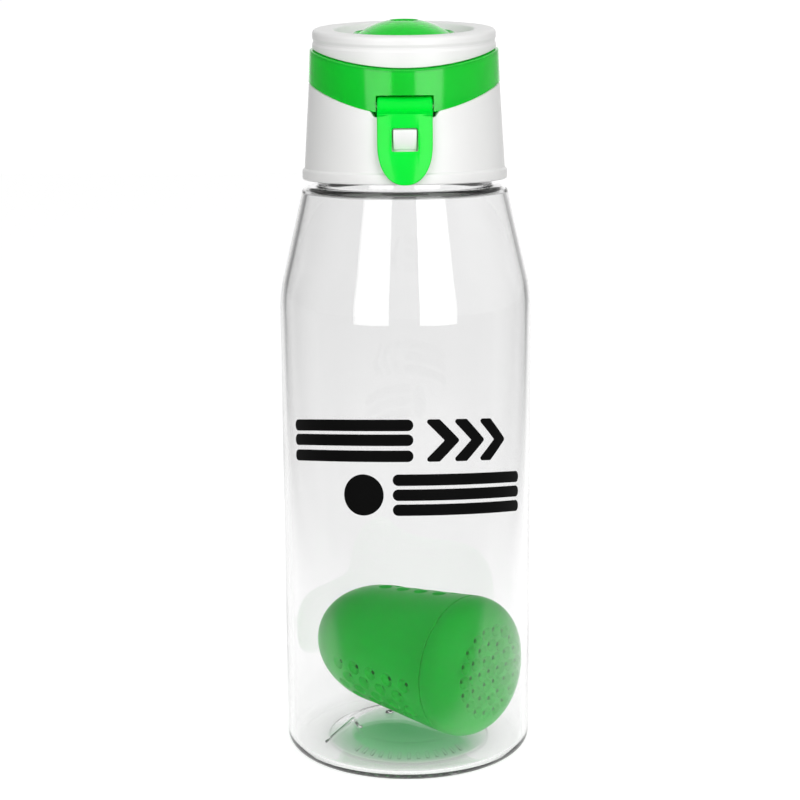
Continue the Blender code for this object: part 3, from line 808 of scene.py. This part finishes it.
def build_shell(mat):
    """The green lid: domed button, deck, inner cap wall and outer band in one moulding."""
    deck = DISH_Z - DECK_T - GAP
    roof = deck - CAP_ROOF_T
    recess_z = DOME_TOP_Z - RECESS_DEPTH
    dome_edge_r = DOME_R - 0.9
    profile = [(0.0, recess_z)]
    profile += rounded([(0.0, recess_z), (RECESS_R, recess_z, 0.4),
                        (RECESS_R + 0.2, DOME_TOP_Z - 0.38, 0.15),
                        (RECESS_R + 1.4, DOME_TOP_Z - 0.65)], 3)[1:-1]
    profile += dome_points(0.0, steps_between(RECESS_R + 1.4, dome_edge_r, 12))
    profile += rounded([(dome_edge_r, DISH_Z + 3.1), (DOME_R, DISH_Z + 1.6, 0.5),
                        (DOME_R, deck, 0.3), (CAP_R, deck, 0.6), (CAP_R, CAP_LEVEL, 0.3),
                        (CAP_INNER_R, CAP_LEVEL, 0.3), (CAP_INNER_R, roof, 1.2),
                        (DOME_INNER_R, roof, 0.6), (DOME_INNER_R - 0.4, deck + 1.0)], 5)[1:-1]
    profile += dome_points(DOME_T, steps_between(DOME_INNER_R - 0.7, 0.0, 12))
    core = turned(profile)
    split_z = CAP_LEVEL + 1.0
    low_verts = [v for v in core.verts if v.co.z < split_z]
    lean(core, [v for v in core.verts if v.co.z >= split_z])
    set_level(low_verts, CAP_LEVEL, lid_low_edge)

    low_rest, top_rest = BAND_LEVELS
    low_r, top_r = band_radius(low_rest), band_radius(top_rest)
    roof = top_rest - BAND_ROOF_T
    band = turned(rounded([
        (BAND_INNER_R, top_rest), (top_r, top_rest, 0.35), (low_r, low_rest, 0.35),
        (low_r - BAND_WALL, low_rest, 0.3), (top_r - BAND_WALL, roof, 0.5), (BAND_INNER_R, roof),
    ], 5))
    split_z, on_cone_from_r = top_rest - 5.0, BAND_INNER_R + 1.0
    top_verts = [v for v in band.verts if v.co.z > split_z]
    low_verts = [v for v in band.verts if v.co.z <= split_z]
    set_level(top_verts, top_rest, lambda x, y: arc_z(RING_EDGE_ARC, y) - GAP, on_cone_from_r)
    set_level(low_verts, low_rest, lid_low_edge, on_cone_from_r)

    knuckle = arc_points((HINGE.y, HINGE.z), HINGE_EYE_R, -90.0, 90.0, 24)
    root_y = 29.2
    knuckle += [(root_y, HINGE.z + HINGE_EYE_R), (root_y, HINGE.z - HINGE_EYE_R)]
    bm = combine(core, "UNION", band, soften(prism_x(knuckle, KNUCKLE_HALF), 0.3))
    room = BARREL_R + 0.4
    front_y, under_z = -40.0, 200.0
    notch = [(front_y, under_z), (front_y, LATCH.z + room)]
    notch += arc_points((LATCH.y, LATCH.z), room, 90.0, 0.0, 24)
    notch += [(LATCH.y + room, under_z)]
    bm = combine(bm, "DIFFERENCE", prism_x(notch, LATCH_HALF + 0.35),
                 rod_x(HINGE.y, HINGE.z, PIN_BORE_R, 7.0))
    finish("tinted_lid_shell", bm, "lid", mat, "clear_green_copolyester", "lid_shell")


def band_radius(z):
    return BAND_R - (z - CAP_LEVEL) * BAND_TAPER


def set_level(verts, rest_z, target, band_from=None):
    """Move level rings to target(x, y). Beyond band_from they stay on the band's cone."""
    for vert in verts:
        rise = target(vert.co.x, vert.co.y) - rest_z
        radius = math.hypot(vert.co.x, vert.co.y)
        if band_from and radius > band_from:
            scale = (radius - BAND_TAPER * rise) / radius
            vert.co.x *= scale
            vert.co.y *= scale
        vert.co.z += rise


def build_liner(mat):
    top = box_mm("lid_liner")[1].z - LID_SLOPE * LINER_R
    bm = turned(rounded([
        (0.0, top), (LINER_R, top, 0.6), (LINER_R, LINER_BOTTOM_Z, 0.4),
        (LINER_R - LINER_T, LINER_BOTTOM_Z, 0.4), (LINER_R - LINER_T, top - LINER_T, 1.2),
        (0.0, top - LINER_T)]))
    lean(bm, [v for v in bm.verts if v.co.z > LINER_BOTTOM_Z + 5.0])
    finish("white_inner_liner", bm, "lid", mat, "white_polypropylene", "lid_liner")


def build_spout_seal(mat):
    """A silicone disc with a plug that sits in the spout."""
    low = SPOUT_TOP_Z + GAP
    high = box_mm("lid_liner")[1].z - LID_SLOPE * LINER_R - LINER_T - GAP
    plug_r, foot = SPOUT_BORE_R - PLUG_PLAY, low - PLUG_DEPTH
    bm = turned(rounded([
        (0.0, foot), (plug_r, foot, 0.4), (plug_r, low, 0.3), (SEAL_R, low, 0.4),
        (SEAL_R, high, 0.4), (0.0, high)]))
    bmesh.ops.translate(bm, verts=bm.verts, vec=(0, SPOUT_Y, 0))
    lean(bm)
    finish("spout_plug_seal", bm, "lid", mat, "silicone", "spout_seal")


def build_pins(mat):
    for node, body, name in (("hinge_pin", "collar", "hinge_pin_rod"),
                             ("latch_pin", "lid", "latch_pin_rod")):
        low, high = box_mm(node)
        centre = (low + high) / 2.0
        bm = rod_x(centre.y, centre.z, (high.z - low.z) / 2.0, high.x)
        finish(name, bm, body, mat, "stainless_steel", node)


# ---------------------------------------------------------------- latch

def latch_outline():
    """Front view of the tongue as (x, z): straight sides and a rounded tip."""
    drop = LATCH_ROUND_Z - LATCH_TIP_Z
    points = [(LATCH_HALF, TONGUE_TOP_Z), (LATCH_HALF, LATCH_ROUND_Z)]
    steps, fullness = 48, 0.9                    # a fullness of 1 would be an ellipse
    for i in range(1, steps):
        angle = math.pi * i / steps
        side = math.copysign(abs(math.cos(angle)) ** fullness, math.cos(angle))
        points.append((LATCH_HALF * side, LATCH_ROUND_Z - drop * math.sin(angle) ** fullness))
    return points + [(-LATCH_HALF, LATCH_ROUND_Z), (-LATCH_HALF, TONGUE_TOP_Z)]


def build_latch(mat):
    """Tongue, window and hinge barrel, wrapped round the collar."""
    sill, top = WINDOW_Z
    window = rounded([(-WINDOW_HALF, sill, 0.4), (WINDOW_HALF, sill, 0.4),
                      (WINDOW_HALF, top, 0.9), (-WINDOW_HALF, top, 0.9)], 5)
    tongue = prism([(x, 0.0, z) for x, z in latch_outline()], (0, -TONGUE_T, 0))
    hole = prism([(x, 5.0, z) for x, z in window], (0, -15.0, 0))
    tongue = soften(combine(tongue, "DIFFERENCE", hole), 0.35, angle=50.0, segments=4)
    for i in range(-8, 9):
        bmesh.ops.bisect_plane(tongue, geom=tongue.verts[:] + tongue.edges[:] + tongue.faces[:],
                               plane_co=(i, 0, 0), plane_no=(1, 0, 0))
    for vert in tongue.verts:
        radius = TONGUE_R + (TONGUE_R_Z - vert.co.z) * TONGUE_FLARE - vert.co.y
        vert.co.y = -math.sqrt(radius ** 2 - vert.co.x ** 2)
    # The link joins the tongue's top to the barrel, just inside the faces of both
    link_foot, link_front = BARREL_R - 0.05, -33.2
    link = prism_x([(LATCH.y, LATCH.z - link_foot), (link_front + 0.3, LATCH.z - link_foot),
                    (link_front, TONGUE_TOP_Z - 0.4), (-30.06, LATCH.z - 1.2),
                    (LATCH.y, LATCH.z - 0.4)], LATCH_HALF - 0.02)
    barrel = rod_x(LATCH.y, LATCH.z, BARREL_R, LATCH_HALF, chamfer=0.5)
    bm = combine(tongue, "UNION", link, barrel)
    finish("tinted_latch", bm, "latch", mat, "clear_green_copolyester", "latch")


# ---------------------------------------------------------------- infuser

def infuser_place():
    """Matrix that lays a piece made along +Z, from the cap's face at 0, on the infuser's axis."""
    tip_ward = -CAP_WARD
    level = Vector((0, 0, 1)).cross(tip_ward)
    turn = Matrix((level, Vector((0, 0, 1)), tip_ward)).transposed()
    if turn.determinant() < 0.0:
        turn = Matrix((-level, Vector((0, 0, 1)), tip_ward)).transposed()
    return Matrix.Translation(INFUSER - tip_ward * (INFUSER_L / 2.0)) @ turn.to_4x4()


def hole_cutter(point, outward, dimple_r, depth):
    """A drill through a round dimple, sunk into a wall at a point against its outward normal."""
    ball_r = (dimple_r ** 2 + depth ** 2) / (2.0 * depth)
    bowl = [(r, ball_r - depth - math.sqrt(ball_r ** 2 - r * r))
            for r in steps_between(HOLE_R, dimple_r, 4)]
    through, above, sides = -3.0, 0.4, 20
    bm = turned([(0.0, through), (HOLE_R, through)] + bowl
                + [(dimple_r + 0.1, above), (0.0, above)], sides)
    bmesh.ops.transform(bm, matrix=Matrix.Translation(point)
                        @ outward.to_track_quat("Z", "Y").to_matrix().to_4x4(), verts=bm.verts)
    return bm


def basket_radius(along):
    shoulder = INFUSER_L - DOME_L
    if along < shoulder:
        return CAP_END_R + (TIP_END_R - CAP_END_R) * (along - SEAM) / (shoulder - SEAM)
    return TIP_END_R * math.sqrt(max(0.0, 1.0 - ((along - shoulder) / DOME_L) ** 2))


def basket_holes():
    """Three staggered patches of holes round the basket's side."""
    cutters = []
    tiny = 0.1
    for patch in HOLE_PATCHES:
        for row in range(4):
            turn = math.radians(patch + HOLE_ROW_TURN * (1.5 - row))
            for column in range(5 if row % 2 == 0 else 4):
                along = FIRST_HOLE + HOLE_PITCH * (column + (0.5 if row % 2 else 0.0))
                radius = basket_radius(along)
                slope = (basket_radius(along + tiny) - basket_radius(along - tiny)) / (2 * tiny)
                around = Vector((math.cos(turn), math.sin(turn), 0.0))
                normal = (around - Vector((0, 0, slope))).normalized()
                cutters.append(hole_cutter(around * radius + Vector((0, 0, along)), normal,
                                           DIMPLE_R, DIMPLE_DEPTH))
    return gather(*cutters)


def cap_holes():
    """Rings of six, twelve and eighteen holes round one in the middle of the end face."""
    spots = [Vector((0, 0, 0))]
    for ring in (1, 2, 3):
        for i in range(6 * ring):
            turn = math.tau * i / (6 * ring)
            spots.append(CAP_HOLE_PITCH * ring * Vector((math.cos(turn), math.sin(turn), 0.0)))
    return gather(*[hole_cutter(spot, Vector((0, 0, -1)), CAP_DIMPLE_R, CAP_DIMPLE_DEPTH)
                    for spot in spots])


def build_infuser(mat):
    place = infuser_place()
    shoulder = INFUSER_L - DOME_L
    wall = INFUSER_WALL
    steps, sides = 24, 128
    outer, inner = [], []
    for i in range(steps + 1):
        angle = math.pi / 2.0 * i / steps
        outer.append((TIP_END_R * math.cos(angle), shoulder + DOME_L * math.sin(angle)))
        inner.append(((TIP_END_R - wall) * math.cos(angle),
                      shoulder + (DOME_L - wall) * math.sin(angle)))
    outer[-1], inner[-1] = (0.0, INFUSER_L), (0.0, INFUSER_L - wall)
    rim = rounded([outer[0], (CAP_END_R, SEAM + GAP, 0.3), (CAP_END_R - wall, SEAM + GAP, 0.3),
                   inner[0]])[1:-1]
    basket = turned(outer[::-1] + rim + inner, sides)
    basket = combine(basket, "DIFFERENCE", basket_holes())
    cap = turned(rounded([
        (0.0, 0.0), (CAP_END_R, 0.0, END_ROUND), (CAP_END_R, SEAM, 0.3), (SPIGOT_R, SEAM, 0.2),
        (SPIGOT_R, SPIGOT_L, 0.5), (SPIGOT_R - wall, SPIGOT_L, 0.3),
        (SPIGOT_R - wall, wall, END_ROUND - 2.5), (0.0, wall)], 10), sides)
    cap = combine(cap, "DIFFERENCE", cap_holes())
    for name, bm, body, node in (("infuser_perforated_basket", basket, "infuser", "infuser_basket"),
                                 ("infuser_perforated_cap", cap, "infuser_cap", "infuser_cap")):
        bmesh.ops.transform(bm, matrix=place, verts=bm.verts)
        finish(name, bm, body, mat, "matte_green_polypropylene", node)


# ---------------------------------------------------------------- stage, light and camera

def build_stage():
    """A plain shooting table of white acrylic, lit from below round and behind the bottle, with a
    painted shadow under the bottle's foot and painted green light under its middle.
    """
    mat, tree, shader, place = new_material("white_acrylic_table")
    parts = add(tree, "ShaderNodeSeparateXYZ", {"Vector": place})
    # It is greyer near its front edge, in front of the bottle
    near = add(tree, "ShaderNodeMapRange", {"Value": parts.outputs["Y"], "From Min": -0.13,
                                            "From Max": -0.06})
    tone = add(tree, "ShaderNodeMix", {"Factor": near.outputs["Result"], "A": linear("8C8C8C"),
                                       "B": linear("BCBCBC")}, data_type="RGBA")
    # The lamps under it fill a wedge that opens to the back from a point in front of the bottle
    depth = add(tree, "ShaderNodeMath", {0: parts.outputs["Y"], 1: 0.6}, operation="ADD")
    depth = add(tree, "ShaderNodeMath", {0: depth.outputs[0], 1: 0.05}, operation="MAXIMUM")
    across = add(tree, "ShaderNodeMath", {0: parts.outputs["X"]}, operation="ABSOLUTE")
    spread = add(tree, "ShaderNodeMath", {0: across.outputs[0], 1: depth.outputs[0]},
                 operation="DIVIDE")
    lamps = add(tree, "ShaderNodeMapRange", {"Value": parts.outputs["X"], "From Min": -0.2,
                                             "From Max": 0.2, "To Min": 0.72, "To Max": 0.82})
    wedge = add(tree, "ShaderNodeMapRange", {"Value": spread.outputs[0], "From Min": 0.24,
                                             "From Max": 0.45, "To Min": lamps.outputs["Result"],
                                             "To Max": 0.12}, interpolation_type="SMOOTHSTEP")
    front = add(tree, "ShaderNodeMapRange", {"Value": parts.outputs["Y"], "From Min": -0.09,
                                             "From Max": -0.057, "To Min": 0.05,
                                             "To Max": wedge.outputs["Result"]},
                interpolation_type="SMOOTHSTEP")
    # Painted shadow: the table's glow is dimmed in a disc under the bottle's foot
    away = add(tree, "ShaderNodeVectorMath", {0: place}, operation="LENGTH")
    foot = add(tree, "ShaderNodeMapRange", {"Value": away.outputs["Value"], "From Min": 0.018,
                                            "From Max": 0.037, "To Min": 0.32,
                                            "To Max": front.outputs["Result"]},
               interpolation_type="SMOOTHSTEP")
    # Painted green light: the table's glow under the bottle's middle is tinted green, standing in for
    # light greened by the infuser
    painted_green_mask = add(tree, "ShaderNodeMapRange", {"Value": away.outputs["Value"], "From Min": 0.017,
                                             "From Max": 0.028})
    glow = add(tree, "ShaderNodeMix", {"Factor": painted_green_mask.outputs["Result"], "A": linear("58FF90"),
                                       "B": linear("FFFFFF")}, data_type="RGBA")
    fill(tree, shader, {"Base Color": tone.outputs[2], "Roughness": 0.9,
                        "Specular IOR Level": 0.1, "Emission Color": glow.outputs[2],
                        "Emission Strength": foot.outputs["Result"]})
    bm = bmesh.new()
    bmesh.ops.create_grid(bm, x_segments=1, y_segments=1, size=3.0)
    mesh = as_mesh(bm, "pale_floor")
    mesh.materials.append(mat)
    floor = bpy.data.objects.new("pale_floor", mesh)
    floor.location.z = -0.0002
    bpy.context.scene.collection.objects.link(floor)


def build_world():
    """A bright wall of light behind the bottle, with a dimmer room round it."""
    world = bpy.data.worlds.new("studio")
    bpy.context.scene.world = world
    world.use_nodes = True
    tree = world.node_tree
    place = add(tree, "ShaderNodeTexCoord").outputs["Generated"]
    parts = add(tree, "ShaderNodeSeparateXYZ", {"Vector": place})
    across = add(tree, "ShaderNodeMath", {0: parts.outputs["X"]}, operation="ABSOLUTE")
    room = add(tree, "ShaderNodeMapRange", {"Value": parts.outputs["X"], "From Min": -0.8,
                                            "From Max": 0.8, "To Min": 0.25, "To Max": 0.55})
    ceiling = add(tree, "ShaderNodeMapRange", {"Value": parts.outputs["Z"], "From Min": 0.2,
                                               "From Max": 0.8, "To Min": room.outputs["Result"],
                                               "To Max": 0.5}, interpolation_type="SMOOTHSTEP")
    wall = add(tree, "ShaderNodeMapRange", {"Value": parts.outputs["X"], "From Min": -0.15,
                                            "From Max": 0.15, "To Min": 1.02, "To Max": 1.14})
    behind = add(tree, "ShaderNodeMapRange", {"Value": parts.outputs["Y"], "From Min": 0.5,
                                              "From Max": 0.85}, interpolation_type="SMOOTHSTEP")
    beside = add(tree, "ShaderNodeMapRange", {"Value": across.outputs[0], "From Min": 0.26,
                                              "From Max": 0.5, "To Min": 1.0, "To Max": 0.0},
                 interpolation_type="SMOOTHSTEP")
    lit = add(tree, "ShaderNodeMath", {0: behind.outputs["Result"], 1: beside.outputs["Result"]},
              operation="MULTIPLY")
    back = add(tree, "ShaderNodeMapRange", {"Value": lit.outputs[0],
                                            "To Min": ceiling.outputs["Result"],
                                            "To Max": wall.outputs["Result"]})
    fill(tree, tree.nodes["Background"], {"Color": (1.0, 1.0, 1.0, 1.0),
                                          "Strength": back.outputs["Result"]})


def softbox(name, azimuth, distance, low, high, width, power):
    """An upright softbox round the bottle. Azimuth 0 is the front, and 90 is +X."""
    data = bpy.data.lights.new(name, "AREA")
    data.shape = "RECTANGLE"
    data.size = width
    data.size_y = high - low
    data.energy = power
    light = bpy.data.objects.new(name, data)
    turn = math.radians(azimuth)
    light.location = (distance * math.sin(turn), -distance * math.cos(turn), (low + high) / 2.0)
    light.rotation_euler = (math.pi / 2.0, 0.0, turn)
    light.visible_camera = False
    bpy.context.scene.collection.objects.link(light)


def build_camera():
    """An 82 mm lens that stands 0.6 m in front and looks down a little."""
    data = bpy.data.cameras.new("camera")
    data.sensor_width = 36.0
    data.lens = 82.0
    camera = bpy.data.objects.new("camera", data)
    look_down, roll = math.radians(10.88), math.radians(-0.407)
    camera.matrix_world = (Matrix.Translation((-0.0021, -0.599, 0.234))
                           @ Matrix.Rotation(math.pi / 2.0 - look_down, 4, "X")
                           @ Matrix.Rotation(roll, 4, "Z"))
    bpy.context.scene.collection.objects.link(camera)
    bpy.context.scene.camera = camera


def main():
    clear = clear_copolyester()
    white = white_polypropylene()
    green = clear_green_copolyester("tinted_green_copolyester", 0.6)
    # The tongue gets a brighter copy of the same green, letting less light through than the band; this
    # is painted light that makes up for the shade in the narrow gap behind the tongue
    brightened_tongue_green = clear_green_copolyester("tinted_green_tongue_painted_bright", 0.25)
    matt_green = matte_green_polypropylene()
    rubber = silicone()
    build_bottle(clear)
    build_print(screen_ink())
    build_gasket(rubber)
    build_collar(white)
    build_ring(white)
    build_shell(green)
    build_liner(white)
    build_spout_seal(rubber)
    build_pins(stainless_wire())
    build_latch(brightened_tongue_green)
    build_infuser(matt_green)
    build_stage()
    build_world()
    for name, azimuth, width, power in (("softbox_left", -31.0, 0.41, 2.9),
                                        ("softbox_right", 29.0, 0.43, 3.7)):
        softbox(name, azimuth, distance=0.72, low=0.06, high=0.92, width=width, power=power)
    build_camera()
    # Standard keeps the plastics' full green, and a white that is white
    bpy.context.scene.view_settings.view_transform = "Standard"


main()
